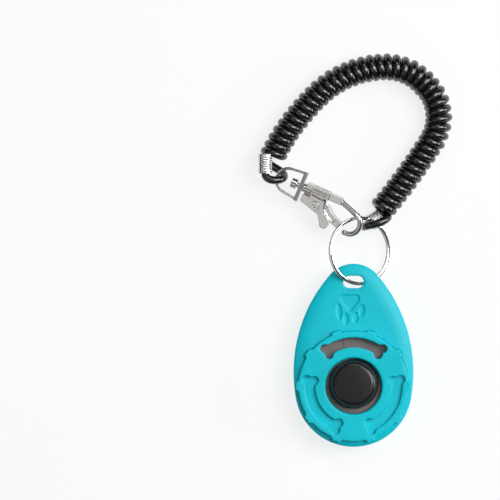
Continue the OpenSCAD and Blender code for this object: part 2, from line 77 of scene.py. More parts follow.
# Points left out at each join, and how far and how often the line is eased there
LOOP_TRIM, COIL_TRIM = 4, 3
JOIN_REACH, JOIN_ROUNDS = 4, 12
COIL_ROUTE = [
    (-28.9, 83.3), (-25.4, 89.6), (-20.3, 96.7), (-13.4, 104.4), (-6.8, 109.7), (1, 113.3),
    (8, 114.8), (14, 114.9), (20, 113.2), (25.3, 109.3), (29.5, 103.5), (30.8, 96.3),
    (29.4, 90.4), (26.5, 85.5), (20, 76.1), (13.2, 67.2), (9.8, 63.1),
]
RING_LOOP = [
    (12.7, 61.6, 6.9), (12.4, 60.4, 7.7), (10.6, 59.2, 8.4), (8, 58.4, 8.5), (5.4, 57.8, 7.7),
    (3.9, 57.4, 5.4), (4.6, 57.8, 3), (6.6, 59.07, 2.15), (8.6, 60.27, 2.15),
]
CLASP_LOOP = [
    (-31.9, 79.5, 8.4), (-31.9, 77, 8.5), (-31.4, 75.3, 8.7), (-29.8, 74.3, 8.8),
    (-27.4, 74.2, 8.4), (-25.4, 74.9, 6.8), (-25.1, 76.2, 4.5), (-26.4, 77.6, 2.9),
    (-28.4, 78.8, 2.5), (-30.5, 80.2, 2.4), (-31.4, 82, 2.5), (-31.2, 84.3, 2.9),
]


def spline(points, steps):
    """Catmull-Rom curve through the points."""
    p = np.asarray(points, float)
    last = len(p) - 1
    out = []
    for i in range(last):
        a, b, c, d = p[max(i - 1, 0)], p[i], p[i + 1], p[min(i + 2, last)]
        for s in range(steps):
            t = s / steps
            out.append(0.5 * (2 * b + (c - a) * t + (2 * a - 5 * b + 4 * c - d) * t**2
                              + (3 * b - a - 3 * c + d) * t**3))
    out.append(p[last])
    return np.array(out)


def lengths(p):
    return np.concatenate([[0], np.cumsum(np.linalg.norm(np.diff(p, axis=0), axis=1))])


def resample(p, step):
    """The same open line with evenly spaced points."""
    s = lengths(p)
    n = max(2, int(round(s[-1] / step)) + 1)
    at = np.linspace(0, s[-1], n)
    return np.stack([np.interp(at, s, p[:, k]) for k in range(p.shape[1])], 1)


def helix():
    """The strand of the coil, right-handed round the coil's own line."""
    core = resample(spline(COIL_ROUTE, CORE_FINE), CORE_STEP)
    along = np.gradient(core, axis=0)
    along /= np.linalg.norm(along, axis=1)[:, None]
    left = np.stack([-along[:, 1], along[:, 0]], 1)
    s = lengths(core)
    s0, s1 = LEAD_IN, s[-1] + LEAD_OUT
    phase0 = math.radians(FIRST_DEG)
    phase1 = math.radians(LAST_DEG) + 2 * math.pi * TURNS
    at = np.linspace(s0, s1, TURNS * TURN_POINTS)
    phase = np.interp(at, [s0, s1], [phase0, phase1])
    base = np.stack([np.interp(at, s, core[:, k]) for k in range(2)], 1)
    base += np.clip(at, None, 0)[:, None] * along[0] + np.clip(at - s[-1], 0, None)[:, None] * along[-1]
    side = np.stack([np.interp(at, s, left[:, k]) for k in range(2)], 1)
    wobble = WOBBLE * np.sin(at * WOBBLE_RATE + WOBBLE_START) - WOBBLE
    radius = HELIX_R + wobble
    xy = base + side * (radius * np.cos(phase))[:, None]
    return np.concatenate([xy, (COIL_Z + radius * np.sin(phase))[:, None]], 1)


def cord_line():
    """The whole cord: the clasp's loop, the coil and the ring's loop, eased where they join."""
    coil = helix()
    head = spline(CLASP_LOOP, LOOP_FINE)[:-LOOP_TRIM]
    tail = spline(RING_LOOP, LOOP_FINE)[LOOP_TRIM:]
    line = resample(np.concatenate([head, coil[COIL_TRIM:-COIL_TRIM], tail]), CORD_STEP)
    joins = [np.argmin(np.linalg.norm(line - p, axis=1)) for p in (head[-1], tail[0])]
    near = np.zeros(len(line), bool)
    for at in joins:
        near[at - JOIN_REACH:at + JOIN_REACH + 1] = True
    for _ in range(JOIN_ROUNDS):
        eased = line.copy()
        eased[1:-1] = 0.25 * line[:-2] + 0.5 * line[1:-1] + 0.25 * line[2:]
        line[near] = eased[near]
    return resample(line, CORD_STEP)


CORD = cord_line()

# ---------------------------------------------------------------- materials


NOISE_SPAN = (0.3, 0.7)
# Noise as scale, detail and roughness, in the object's own coordinates
PATCHES, GLOSS, DENTS = (70, 3), (420, 4, 0.6), (260, 3)
GRAIN_SCALE, GRAIN_DETAIL, GRAIN_ROUGH = 5200, 2, 0.55
PLASTIC_RELIEF, METAL_RELIEF, BRUSH_RELIEF = 0.00003, 0.00004, 0.00001
CLOUD, SCRATCH, RIPPLE, BRUSH = (600, 4, 0.6), (900, 3, 0.7), (330, 2), (6500, 3, 0.7)
SCRATCH_STRETCH, BRUSH_STRETCH, METAL_TURN = (1, 7, 3), (1, 9, 3), (0.3, 0.2, 0.7)
BRUSH_STRENGTH = 0.04
METAL_WORN, METAL_PLAIN, METAL_BRIGHT, BRIGHTER = 0.25, 0.6, 0.9, 1.04
PLASTIC_IOR, COAT_ROUGH, COAT_IOR = 1.46, 0.14, 1.5


def colour_ramp(tree, stops):
    """A colour ramp node with the given positions and colours."""
    r = tree.nodes.new("ShaderNodeValToRGB")
    while len(r.color_ramp.elements) < len(stops):
        r.color_ramp.elements.new(0.5)
    for element, (at, colour) in zip(r.color_ramp.elements, stops):
        element.position = at
        element.color = (*colour, 1)
    return r


class Nodes:
    """Small helper that builds one procedural material."""

    def __init__(self, name):
        self.material = bpy.data.materials.new(name)
        self.material.use_nodes = True
        self.tree = self.material.node_tree
        self.bsdf = self.tree.nodes["Principled BSDF"]
        coords = self.tree.nodes.new("ShaderNodeTexCoord")
        self.place = coords.outputs["Object"]

    def link(self, a, b):
        self.tree.links.new(a, b)

    def stretched(self, scale, turn):
        m = self.tree.nodes.new("ShaderNodeMapping")
        m.inputs["Scale"].default_value = scale
        m.inputs["Rotation"].default_value = turn
        self.link(self.place, m.inputs["Vector"])
        return m.outputs["Vector"]

    def noise(self, scale, detail=2.0, rough=0.5, vector=None):
        n = self.tree.nodes.new("ShaderNodeTexNoise")
        n.inputs["Scale"].default_value = scale
        n.inputs["Detail"].default_value = detail
        n.inputs["Roughness"].default_value = rough
        self.link(vector or self.place, n.inputs["Vector"])
        return n.outputs["Fac"]

    def ramp(self, fac, stops):
        r = colour_ramp(self.tree, stops)
        self.link(fac, r.inputs["Fac"])
        return r.outputs["Color"]

    def between(self, fac, low, high):
        r = self.tree.nodes.new("ShaderNodeMapRange")
        start, end = NOISE_SPAN
        for key, value in (("From Min", start), ("From Max", end), ("To Min", low), ("To Max", high)):
            r.inputs[key].default_value = value
        self.link(fac, r.inputs["Value"])
        return r.outputs["Result"]

    def bump(self, height, strength, distance, below=None):
        b = self.tree.nodes.new("ShaderNodeBump")
        b.inputs["Strength"].default_value = strength
        b.inputs["Distance"].default_value = distance
        self.link(height, b.inputs["Height"])
        if below is not None:
            self.link(below, b.inputs["Normal"])
        return b.outputs["Normal"]

    def set(self, **values):
        for key, value in values.items():
            self.bsdf.inputs[key.replace("_", " ")].default_value = value


def shade(colour, factor):
    return tuple(c * factor for c in colour)


def plastic(name, colour, rough, grain, spread=0.05, tone=0.05, shine=0.5, dents=0.25, coat=0.0):
    m = Nodes(name)
    low_tone, high_tone = shade(colour, 1 - tone), shade(colour, 1 + tone)
    m.link(m.ramp(m.noise(*PATCHES), list(zip(NOISE_SPAN, (low_tone, high_tone)))),
           m.bsdf.inputs["Base Color"])
    m.link(m.between(m.noise(*GLOSS), rough - spread, rough + spread), m.bsdf.inputs["Roughness"])
    low = m.bump(m.noise(*DENTS), dents, PLASTIC_RELIEF)
    fine = m.noise(GRAIN_SCALE, GRAIN_DETAIL, GRAIN_ROUGH)
    m.link(m.bump(fine, grain, PLASTIC_RELIEF, low), m.bsdf.inputs["Normal"])
    m.set(IOR=PLASTIC_IOR, Specular_IOR_Level=shine)
    m.set(Coat_Weight=coat, Coat_Roughness=COAT_ROUGH, Coat_IOR=COAT_IOR)
    return m.material


def metal(name, colour, rough, ripple, spread=0.05, wear=0.10):
    m = Nodes(name)
    m.set(Metallic=1.0)
    m.link(m.ramp(m.noise(*CLOUD), [(METAL_WORN, shade(colour, 1 - wear)), (METAL_PLAIN, colour),
                                    (METAL_BRIGHT, shade(colour, BRIGHTER))]),
           m.bsdf.inputs["Base Color"])
    scratch = m.noise(*SCRATCH, m.stretched(SCRATCH_STRETCH, METAL_TURN))
    m.link(m.between(scratch, rough - spread, rough + spread), m.bsdf.inputs["Roughness"])
    low = m.bump(m.noise(*RIPPLE), ripple, METAL_RELIEF)
    brush = m.noise(*BRUSH, m.stretched(BRUSH_STRETCH, METAL_TURN))
    m.link(m.bump(brush, BRUSH_STRENGTH, BRUSH_RELIEF, low), m.bsdf.inputs["Normal"])
    return m.material


case_plastic = plastic("case_plastic", (0.0, 0.55, 0.66), 0.40, 0.16, shine=0.3)
trim_plastic = plastic("trim_plastic", (0.0, 0.58, 0.69), 0.34, 0.07, shine=0.3)
grey_plastic = plastic("grey_plastic", (0.19, 0.155, 0.148), 0.42, 0.10, tone=0.08)
button_plastic = plastic("button_plastic", (0.011, 0.0105, 0.0108), 0.24, 0.02, spread=0.012,
                         tone=0.08, dents=0.0)
cord_plastic = plastic("cord_plastic", (0.0045, 0.0045, 0.005), 0.20, 0.04, spread=0.03, tone=0.25,
                       shine=0.9, dents=0.1, coat=0.3)
wire_nickel = metal("wire_nickel", (0.70, 0.685, 0.665), 0.10, 0.05, spread=0.03, wear=0.05)
cast_nickel = metal("cast_nickel", (0.66, 0.645, 0.63), 0.14, 0.30, spread=0.03, wear=0.10)
rolled_nickel = metal("rolled_nickel", (0.78, 0.76, 0.74), 0.22, 0.35)
spring_steel = metal("spring_steel", (0.62, 0.60, 0.58), 0.28, 0.10)

# ---------------------------------------------------------------- mesh tools


def linked(name, data):
    obj = bpy.data.objects.new(name, data)
    scene.collection.objects.link(obj)
    return obj


def to_object(name, verts, faces):
    mesh = bpy.data.meshes.new(name)
    mesh.from_pydata([tuple(float(c) for c in v) for v in verts], [], [list(map(int, f)) for f in faces])
    mesh.update()
    return linked(name, mesh)


def band(lower, upper, k):
    """Faces between two rings of k points that start at the given point numbers."""
    return [(lower + a, lower + (a + 1) % k, upper + (a + 1) % k, upper + a) for a in range(k)]


def bake(obj):
    """Applies the object's modifiers to its mesh."""
    graph = bpy.context.evaluated_depsgraph_get()
    mesh = bpy.data.meshes.new_from_object(obj.evaluated_get(graph))
    obj.modifiers.clear()
    obj.data = mesh


def combine(target, tool, operation="DIFFERENCE"):
    """Cuts or joins a tool into the target, and uses the tool up."""
    mod = target.modifiers.new("combine", "BOOLEAN")
    mod.operation = operation
    mod.solver = "MANIFOLD"
    mod.object = tool
    bake(target)
    bpy.data.objects.remove(tool)


SMOOTH_FACTOR = 0.5
WELD_GAP = 0.0005
NORMAL_WEIGHT = 70


def soften(obj, voxel, rounds):
    """Rebuilds the mesh with even faces and eased edges."""
    remesh = obj.modifiers.new("remesh", "REMESH")
    remesh.mode = "VOXEL"
    remesh.voxel_size = voxel
    smooth = obj.modifiers.new("smooth", "SMOOTH")
    smooth.factor = SMOOTH_FACTOR
    smooth.iterations = rounds
    bake(obj)


def tidy(obj, gap=WELD_GAP):
    """Welds doubled points, drops faces of no area and turns all faces outwards."""
    bm = bmesh.new()
    bm.from_mesh(obj.data)
    bmesh.ops.remove_doubles(bm, verts=bm.verts, dist=gap)
    bmesh.ops.dissolve_degenerate(bm, edges=bm.edges, dist=gap)
    bmesh.ops.recalc_face_normals(bm, faces=bm.faces)
    bm.to_mesh(obj.data)
    bm.free()


def piece(obj, body, material, nodes=(), sharp=38, weighted=True):
    """Finishes a piece that was built in millimetres."""
    tidy(obj)
    obj.data.transform(Matrix.Scale(MM, 4))
    obj.data.materials.clear()
    obj.data.materials.append(material)
    obj.data.polygons.foreach_set("use_smooth", [True] * len(obj.data.polygons))
    obj.data.set_sharp_from_angle(angle=math.radians(sharp))
    if weighted:
        mod = obj.modifiers.new("normals", "WEIGHTED_NORMAL")
        mod.keep_sharp = True
        mod.weight = NORMAL_WEIGHT
    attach(obj, body)
    if nodes:
        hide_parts(*nodes)
    return obj


def sweep(name, line, section, up=(0, 0, 1)):
    """Moves a section, or one section per point, along an open line with as little twist as it can."""
    line = np.asarray(line, float)
    n = len(line)
    sections = section if np.ndim(section) == 3 else [section] * n
    k = len(sections[0])
    along = np.gradient(line, axis=0)
    along /= np.linalg.norm(along, axis=1)[:, None]
    verts = []
    normal = np.cross(np.cross(along[0], up), along[0])
    for i in range(n):
        normal = normal - along[i] * normal.dot(along[i])
        normal /= np.linalg.norm(normal)
        across = np.cross(along[i], normal)
        verts += [line[i] + across * a + normal * b for a, b in sections[i]]
    faces = [f for i in range(n - 1) for f in band(i * k, (i + 1) * k, k)]
    faces.append(tuple(range(k - 1, -1, -1)))
    faces.append(tuple((n - 1) * k + a for a in range(k)))
    return to_object(name, verts, faces)


def circle_section(r, n):
    a = np.arange(n) * 2 * math.pi / n
    return np.stack([r * np.cos(a), r * np.sin(a)], 1)


def rounded_box(w, h, r, steps):
    """Section of a rectangle w by h with rounded corners."""
    out = []
    for q, (sx, sy) in enumerate([(1, 1), (-1, 1), (-1, -1), (1, -1)]):
        for s in range(steps + 1):
            a = math.radians(90 * q + 90 * s / steps)
            out.append((sx * (w / 2 - r) + r * math.cos(a), sy * (h / 2 - r) + r * math.sin(a)))
    return np.array(out)


def loft(name, rings):
    """A closed block through rings of the same count, with flat ends."""
    k = len(rings[0])
    verts = [v for ring in rings for v in ring]
    faces = [tuple(range(k - 1, -1, -1))]
    faces += [f for i in range(len(rings) - 1) for f in band(i * k, (i + 1) * k, k)]
    faces.append(tuple((len(rings) - 1) * k + a for a in range(k)))
    return to_object(name, verts, faces)


POLE = 1e-6


def turned(name, profile, steps, centre):
    """A closed profile of (radius, height) points turned round the z axis. Radius 0 makes a pole."""
    verts, rows = [], []
    for r, z in profile:
        if r < POLE:
            rows.append([len(verts)] * steps)
            verts.append((centre[0], centre[1], z))
        else:
            rows.append(list(range(len(verts), len(verts) + steps)))
            for i in range(steps):
                a = 2 * math.pi * i / steps
                verts.append((centre[0] + r * math.cos(a), centre[1] + r * math.sin(a), z))
    faces = []
    for i in range(len(rows)):
        lower, upper = rows[i], rows[(i + 1) % len(rows)]
        for a in range(steps):
            b = (a + 1) % steps
            corners = []
            for v in (lower[a], lower[b], upper[b], upper[a]):
                if v not in corners:
                    corners.append(v)
            if len(corners) > 2:
                faces.append(corners)
    return to_object(name, verts, faces)


# ---------------------------------------------------------------- outlines


SMALLEST_LOOP = 8


def contour(field, low, high, step):
    """Closed lines where a signed distance field over x, y is zero."""
    xs = np.arange(low[0], high[0] + step, step)
    ys = np.arange(low[1], high[1] + step, step)
    gx, gy = np.meshgrid(xs, ys, indexing="ij")
    f = field(gx, gy)
    inside = f < 0
    follow = {}
    points = {}

    def cross(i0, j0, i1, j1):
        key = (i0, j0, i1, j1) if (i0, j0) < (i1, j1) else (i1, j1, i0, j0)
        if key not in points:
            t = f[i0, j0] / (f[i0, j0] - f[i1, j1])
            points[key] = (xs[i0] + t * (xs[i1] - xs[i0]), ys[j0] + t * (ys[j1] - ys[j0]))
        return key

    mixed = inside[:-1, :-1].astype(int) + inside[1:, :-1] + inside[1:, 1:] + inside[:-1, 1:]
    for i, j in zip(*np.nonzero((mixed > 0) & (mixed < 4))):
        ring = [(i, j), (i + 1, j), (i + 1, j + 1), (i, j + 1)]
        leave, enter = [], []
        for a in range(4):
            p, q = ring[a], ring[(a + 1) % 4]
            if inside[p] and not inside[q]:
                leave.append(cross(*p, *q))
            if not inside[p] and inside[q]:
                enter.append(cross(*p, *q))
        for a, b in zip(enter, leave):
            follow[b] = a
    loops = []
    while follow:
        start = next(iter(follow))
        loop, key = [], start
        while key in follow:
            loop.append(points[key])
            key = follow.pop(key)
        if len(loop) > SMALLEST_LOOP:
            loops.append(np.array(loop))
    return loops


def even(loop, step, rounds=3):
    """A closed outline with even spacing, anticlockwise, lightly smoothed."""
    p = np.concatenate([loop, loop[:1]])
    s = lengths(p)
    n = int(round(s[-1] / step))
    at = np.arange(n) * s[-1] / n
    out = np.stack([np.interp(at, s, p[:, k]) for k in range(2)], 1)
    for _ in range(rounds):
        out = 0.25 * np.roll(out, 1, 0) + 0.5 * out + 0.25 * np.roll(out, -1, 0)
    area = 0.5 * np.sum(out[:, 0] * np.roll(out[:, 1], -1) - np.roll(out[:, 0], -1) * out[:, 1])
    return out if area > 0 else out[::-1]


def moved(loop, by):
    """An anticlockwise outline moved outwards by a distance."""
    t = np.roll(loop, -1, 0) - np.roll(loop, 1, 0)
    t /= np.linalg.norm(t, axis=1)[:, None]
    return loop + np.stack([t[:, 1], -t[:, 0]], 1) * by


def plate(name, outer, holes, z0, z1, bevel, hole_bevels, steps=5):
    """A plate with rounded upper edges, and holes through it. All outlines are anticlockwise."""
    bm = bmesh.new()
    tops, bottoms = [], []
    for loop, b, out in [(outer, bevel, -1)] + [(h, hb, 1) for h, hb in zip(holes, hole_bevels)]:
        levels = [(0.0, z0)]
        levels += [(b * (1 - math.cos(a)), z1 - b + b * math.sin(a))
                   for a in np.linspace(0, math.pi / 2, steps)]
        rows = [[bm.verts.new((x, y, z)) for x, y in moved(loop, out * inset)] for inset, z in levels]
        n = len(loop)
        for low, high in zip(rows[:-1], rows[1:]):
            for a in range(n):
                c = (a + 1) % n
                bm.faces.new((low[a], low[c], high[c], high[a]))
        for row, kept in ((rows[0], bottoms), (rows[-1], tops)):
            kept += [bm.edges.get((row[a], row[(a + 1) % n])) for a in range(n)]
    for edges in (tops, bottoms):
        bmesh.ops.triangle_fill(bm, use_beauty=True, use_dissolve=False, edges=edges)
    bmesh.ops.recalc_face_normals(bm, faces=bm.faces)
    mesh = bpy.data.meshes.new(name)
    bm.to_mesh(mesh)
    bm.free()
    return linked(name, mesh)


def soft_min(a, b, k):
    """The smaller of two distances, blended over a width k."""
    h = np.clip(0.5 + 0.5 * (b - a) / k, 0, 1)
    return b * (1 - h) + a * h - k * h * (1 - h)


def round_at(x, y, cx, cy, r):
    return np.hypot(x - cx, y - cy) - r


# Values that repeat those of the CAD model, in millimetres. The pad's tip is drawn a little longer
CASE_H, SPLIT_H, EDGE_R, CROWN_W, CROWN_H = 10.6, 5.6, 2.4, 5.5, 1.4
TRIM_R, TRIM_H, WELL_R = 19.8, 12.4, 10.05
BONE_R, BONE_HALF, BONE_END, LOBE_R, LOBE_OFF = 15.7, 1.8, 37, 1.55, 1.4
NUBS, NUB_R, NUB_AT, NUB_HALF = 10, 0.9, 20.05, 2.3
BUTTON_X, BUTTON_Y, BUTTON_R, BUTTON_H = 0.1, 0.8, 8.6, 15.3
PAD_X, PAD_Y, PAD_LOBE_X, PAD_LOBE_R, PAD_TIP_Y, PAD_TIP_R = -1.3, 31.2, 1.7, 1.75, -4.3, 0.55
PAW_TOES = [(-5.3, 26.8, 5.8, 4), (-2.8, 24.2, 4.2, 2), (0.7, 24.7, 3.8, -4), (2.9, 27.1, 4.4, -10)]
TOE_W, PAW_DEPTH = 2.0, 0.4
WALL = 1.8
# Widths over which two curves of an outline blend
BONE_BLEND, NUB_BLEND, PAD_BLEND = 0.5, 0.35, 0.5


def bone_field(x, y, turn):
    """Distance from a bone bent round the button: a shaft and two lobes at each end."""
    t = math.radians(90 + turn)
    u, v = x * math.cos(t) + y * math.sin(t), -x * math.sin(t) + y * math.cos(t)
    r, angle = np.hypot(u, v), np.arctan2(v, u)
    out = np.maximum(np.abs(r - BONE_R) - BONE_HALF,
                     (np.abs(angle) - math.radians(BONE_END)) * BONE_R)
    for s in (-1, 1):
        for off in (-LOBE_OFF, LOBE_OFF):
            a = s * math.radians(BONE_END + 1)
            lobe = round_at(u, v, (BONE_R + off) * math.cos(a), (BONE_R + off) * math.sin(a), LOBE_R)
            out = soft_min(out, lobe, BONE_BLEND)
    return out


def nub_field(x, y):
    """Distance from the trim ring's outline, a circle with pairs of small nubs."""
    out = np.hypot(x, y) - TRIM_R
    for i in range(NUBS):
        for s in (-1, 1):
            a = math.radians(90 + (i + 0.5) * 360 / NUBS + s * NUB_HALF)
            nub = round_at(x, y, NUB_AT * math.cos(a), NUB_AT * math.sin(a), NUB_R)
            out = soft_min(out, nub, NUB_BLEND)
    return out


def circle_loop(r, step):
    return circle_section(r, int(round(2 * math.pi * r / step)))


TRIM_BOX, TRIM_GRID, TRIM_STEP, TRIM_ROUNDS = ((-22, -22), (22, 22)), 0.15, 0.25, 4
TRIM_OUTLINE = even(max(contour(nub_field, *TRIM_BOX, TRIM_GRID), key=len), TRIM_STEP, TRIM_ROUNDS)


# ---------------------------------------------------------------- case

CASE_W, BLUNT_END, TIP_END, BLUNT_R, FLANK_R = 43.2, 21.9, 44.1, 21.1, 54.0
BLUNT_Y = BLUNT_R - BLUNT_END
FLANK_X = FLANK_R - CASE_W / 2
FLANK_Y = BLUNT_Y + math.sqrt((FLANK_R - BLUNT_R) ** 2 - FLANK_X**2)
TIP_GAP = FLANK_R - TIP_END
TIP_Y = (FLANK_X**2 + FLANK_Y**2 - TIP_GAP**2) / (2 * (TIP_GAP + FLANK_Y))
TIP_R = TIP_END - TIP_Y
BLUNT_TURN = math.atan2(FLANK_Y - BLUNT_Y, FLANK_X)
TIP_TURN = math.atan2(TIP_Y - FLANK_Y, FLANK_X)


# Points along the teardrop's blunt end, flanks and tip
BLUNT_POINTS, FLANK_POINTS, TIP_POINTS = 44, 18, 24


def arc(cx, cy, r, start, end, steps):
    a = start + (end - start) * np.arange(steps) / steps
    return np.stack([cx + r * np.cos(a), cy + r * np.sin(a)], 1)


def teardrop(inset, fine=2):
    """The case's outline, moved inwards."""
    pi = math.pi
    return np.concatenate([
        arc(0, BLUNT_Y, BLUNT_R - inset, pi + BLUNT_TURN, 2 * pi - BLUNT_TURN,
            BLUNT_POINTS * fine),
        arc(-FLANK_X, FLANK_Y, FLANK_R - inset, -BLUNT_TURN, TIP_TURN, FLANK_POINTS * fine),
        arc(0, TIP_Y, TIP_R - inset, TIP_TURN, pi - TIP_TURN, TIP_POINTS * fine),
        arc(FLANK_X, FLANK_Y, FLANK_R - inset, pi - TIP_TURN, pi + BLUNT_TURN,
            FLANK_POINTS * fine),
    ])


def lifted(outline, z):
    return np.concatenate([outline, np.full((len(outline), 1), z)], 1)


def ring_at(inset, z):
    return lifted(teardrop(inset), z)


def block(outline, z0, z1):
    return loft("tool", [lifted(outline, z0), lifted(outline, z1)])


# What is cut away below the lug, as y and z from the side, and half its width
LUG_SIDE = [(52, -3), (52, 9.1), (35.1, 9.1), (34.2, 8.55), (28.9, 0.45), (28.3, 0), (28.5, -3)]
LUG_SIDE_HALF = 30
# The lug's hole: half the straight part, centre, radius, and how much wider it is at each height
HOLE_HALF, HOLE_Y, HOLE_R, HOLE_FINE = 1.5, 37.5, 2.2, 25
HOLE_LEVELS = [(0.35, 8.0), (0.35, 9.1), (0.12, 9.22), (0, 9.4), (0, 9.85), (0.08, 10.2),
               (0.28, 10.45), (0.62, 10.6), (1.2, 10.75)]
CAVITY_END = 26


def lug_clearance():
    return loft("tool", [[(x, y, z) for y, z in LUG_SIDE] for x in (-LUG_SIDE_HALF, LUG_SIDE_HALF)])


def cavity(inset, z0, z1):
    """The case's hollow, cut off straight before the lug."""
    keep = teardrop(inset, 1)
    keep = keep[keep[:, 1] < CAVITY_END - inset]
    lead = int(np.argmax(np.linalg.norm(keep - np.roll(keep, 1, 0), axis=1)))
    return block(np.roll(keep, -lead, 0), z0, z1)


def lug_hole():
    """A rounded oval hole with a generous lead-in on the front."""
    def oval(r):
        pts = []
        for s, start in ((1, -90), (-1, 90)):
            for a in np.radians(np.linspace(start, start + 180, HOLE_FINE)):
                pts.append((s * HOLE_HALF + r * math.cos(a), HOLE_Y + r * math.sin(a)))
        return np.array(pts)
    return loft("tool", [lifted(oval(HOLE_R + extra), z) for extra, z in HOLE_LEVELS])


PAD_NECK, PAD_TOP = 0.15, 1.35
PAD_BOX, PAD_GRID, PAD_STEP, PAD_ROUNDS = ((-6, 26), (4, 35)), 0.12, 0.22, 8
TOE_TAPER, TOE_POINTS = 0.12, 56
# A recess's outline from its floor to above the front: how far it is moved out, and the height
RECESS_LEVELS = [(-0.22, CASE_H - PAW_DEPTH), (0, CASE_H - PAW_DEPTH + 0.12), (0.04, CASE_H - 0.1),
                 (0.16, CASE_H + 0.1)]


def paw_recesses():
    """A plain paw sunk into the front: one three-cornered pad and four long toes."""
    def pad(x, y):
        x, y = x - PAD_X, y - PAD_Y
        lobes = np.minimum(round_at(x, y, -PAD_LOBE_X, 0, PAD_LOBE_R),
                           round_at(x, y, PAD_LOBE_X, 0, PAD_LOBE_R))
        t = np.clip(-y / -PAD_TIP_Y, 0, 1)
        body = np.abs(x) - (1 - t) * (PAD_LOBE_X + PAD_LOBE_R - PAD_NECK) - t * PAD_TIP_R
        return soft_min(lobes, np.maximum(body, np.maximum(y - PAD_TOP, PAD_TIP_Y - y)), PAD_BLEND)
    loops = [even(max(contour(pad, *PAD_BOX, PAD_GRID), key=len), PAD_STEP, PAD_ROUNDS)]
    for x, y, length, lean in PAW_TOES:
        t = math.radians(lean)
        pts = []
        for a in np.linspace(0, 2 * math.pi, TOE_POINTS, endpoint=False):
            u = 0.5 * TOE_W * math.cos(a) * (1 - TOE_TAPER * math.sin(a))
            v = 0.5 * length * math.sin(a)
            pts.append((x + u * math.cos(t) - v * math.sin(t), y + u * math.sin(t) + v * math.cos(t)))
        loops.append(np.array(pts))
    return [loft("paw", [lifted(moved(loop, out), z) for out, z in RECESS_LEVELS]) for loop in loops]


# The seam between the shells: how far each edge is set in, and its height from the split
SEAM = [(0.22, 0), (0.05, 0.10), (0, 0.25)]
CROWN_FINE, EDGE_FINE = 19, 13
FRONT_CAVITY_TOP, BACK_CAVITY_FLOOR = 8.8, 1.6
RECESS_FLOOR, SEAT_FLOOR, RECESS_EASE, SEAT_EASE = 9.6, 9.8, 0.08, 0.03
CUT_FROM, CUT_TO = 8, 14
CIRCLE_STEP = 0.4
WINDOW_BOX, WINDOW_GRID, WINDOW_STEP = ((-14, 8), (14, 20)), 0.2, 0.3
SHELL_SHARP = 70
FRONT_SOFTENING, BACK_SOFTENING = (0.2, 3), (0.32, 2)
LIP_OUT, LIP_IN, LIP_FOOT, LIP_UP = 1.85, 2.6, 3.0, 0.9
POST_DEGREES, POST_PITCH_R, POST_POINTS = (30, 150, 270), 14.6, 32
POST_PROFILE = [(0, 1.3), (1.4, 1.3), (1.4, 7.2), (1.2, 7.4), (0, 7.4)]


def build_top_shell():
    angles = np.radians(np.linspace(0, 90, CROWN_FINE))
    rings = [ring_at(inset, SPLIT_H + up) for inset, up in SEAM]
    rings += [ring_at(CROWN_W * (1 - math.cos(a)), CASE_H - CROWN_H * (1 - math.sin(a))) for a in angles]
    shell = loft("front_shell", rings)
    combine(shell, lug_clearance())
    combine(shell, cavity(WALL, SPLIT_H - 1, FRONT_CAVITY_TOP))
    combine(shell, block(circle_loop(TRIM_R - RECESS_EASE, CIRCLE_STEP), RECESS_FLOOR, CUT_TO))
    combine(shell, block(moved(TRIM_OUTLINE, SEAT_EASE), SEAT_FLOOR, CUT_TO))
    combine(shell, block(circle_loop(WELL_R, CIRCLE_STEP), CUT_FROM, CUT_TO))
    window = even(contour(lambda x, y: bone_field(x, y, 0), *WINDOW_BOX, WINDOW_GRID)[0], WINDOW_STEP)
    combine(shell, block(window, CUT_FROM, CUT_TO))
    combine(shell, lug_hole())
    for recess in paw_recesses():
        combine(shell, recess)
    soften(shell, *FRONT_SOFTENING)
    return piece(shell, "case", case_plastic, ["top_shell"], sharp=SHELL_SHARP,
                 weighted=False)


def build_bottom_shell():
    angles = np.radians(np.linspace(0, 90, EDGE_FINE))
    rings = [ring_at(EDGE_R * (1 - math.sin(a)), EDGE_R * (1 - math.cos(a))) for a in angles]
    rings += [ring_at(inset, SPLIT_H - down) for inset, down in reversed(SEAM)]
    shell = loft("back_shell", rings)
    combine(shell, lug_clearance())
    combine(shell, cavity(WALL, BACK_CAVITY_FLOOR, SPLIT_H + 2))
    lip = cavity(LIP_OUT, LIP_FOOT, SPLIT_H + LIP_UP)
    combine(lip, cavity(LIP_IN, 1, SPLIT_H + 2))
    combine(shell, lip, "UNION")
    for a in POST_DEGREES:
        t = math.radians(a)
        post = turned("post", POST_PROFILE, POST_POINTS,
                      (POST_PITCH_R * math.cos(t), POST_PITCH_R * math.sin(t)))
        combine(shell, post, "UNION")
    soften(shell, *BACK_SOFTENING)
    return piece(shell, "case", case_plastic, ["bottom_shell"], sharp=SHELL_SHARP,
                 weighted=False)


# The trim ring's three layers, each from its lower to its upper height
TRIM_FROM, BASE_SPAN, FLOOR_SPAN = 10.2, (9.85, 10.8), (9.62, 10.3)
TRIM_BEVEL, WELL_BEVEL, BONE_BEVEL = 0.42, 0.85, 0.40
LAYER_BEVEL, LAYER_HOLE_BEVEL, LAYER_EASE, FLOOR_EASE = 0.02, 0.01, -0.02, 0.1
BONE_AT, BONE_REACH, BONE_GRID, BONE_STEP, WELL_STEP = 14, 14, 0.15, 0.28, 0.35


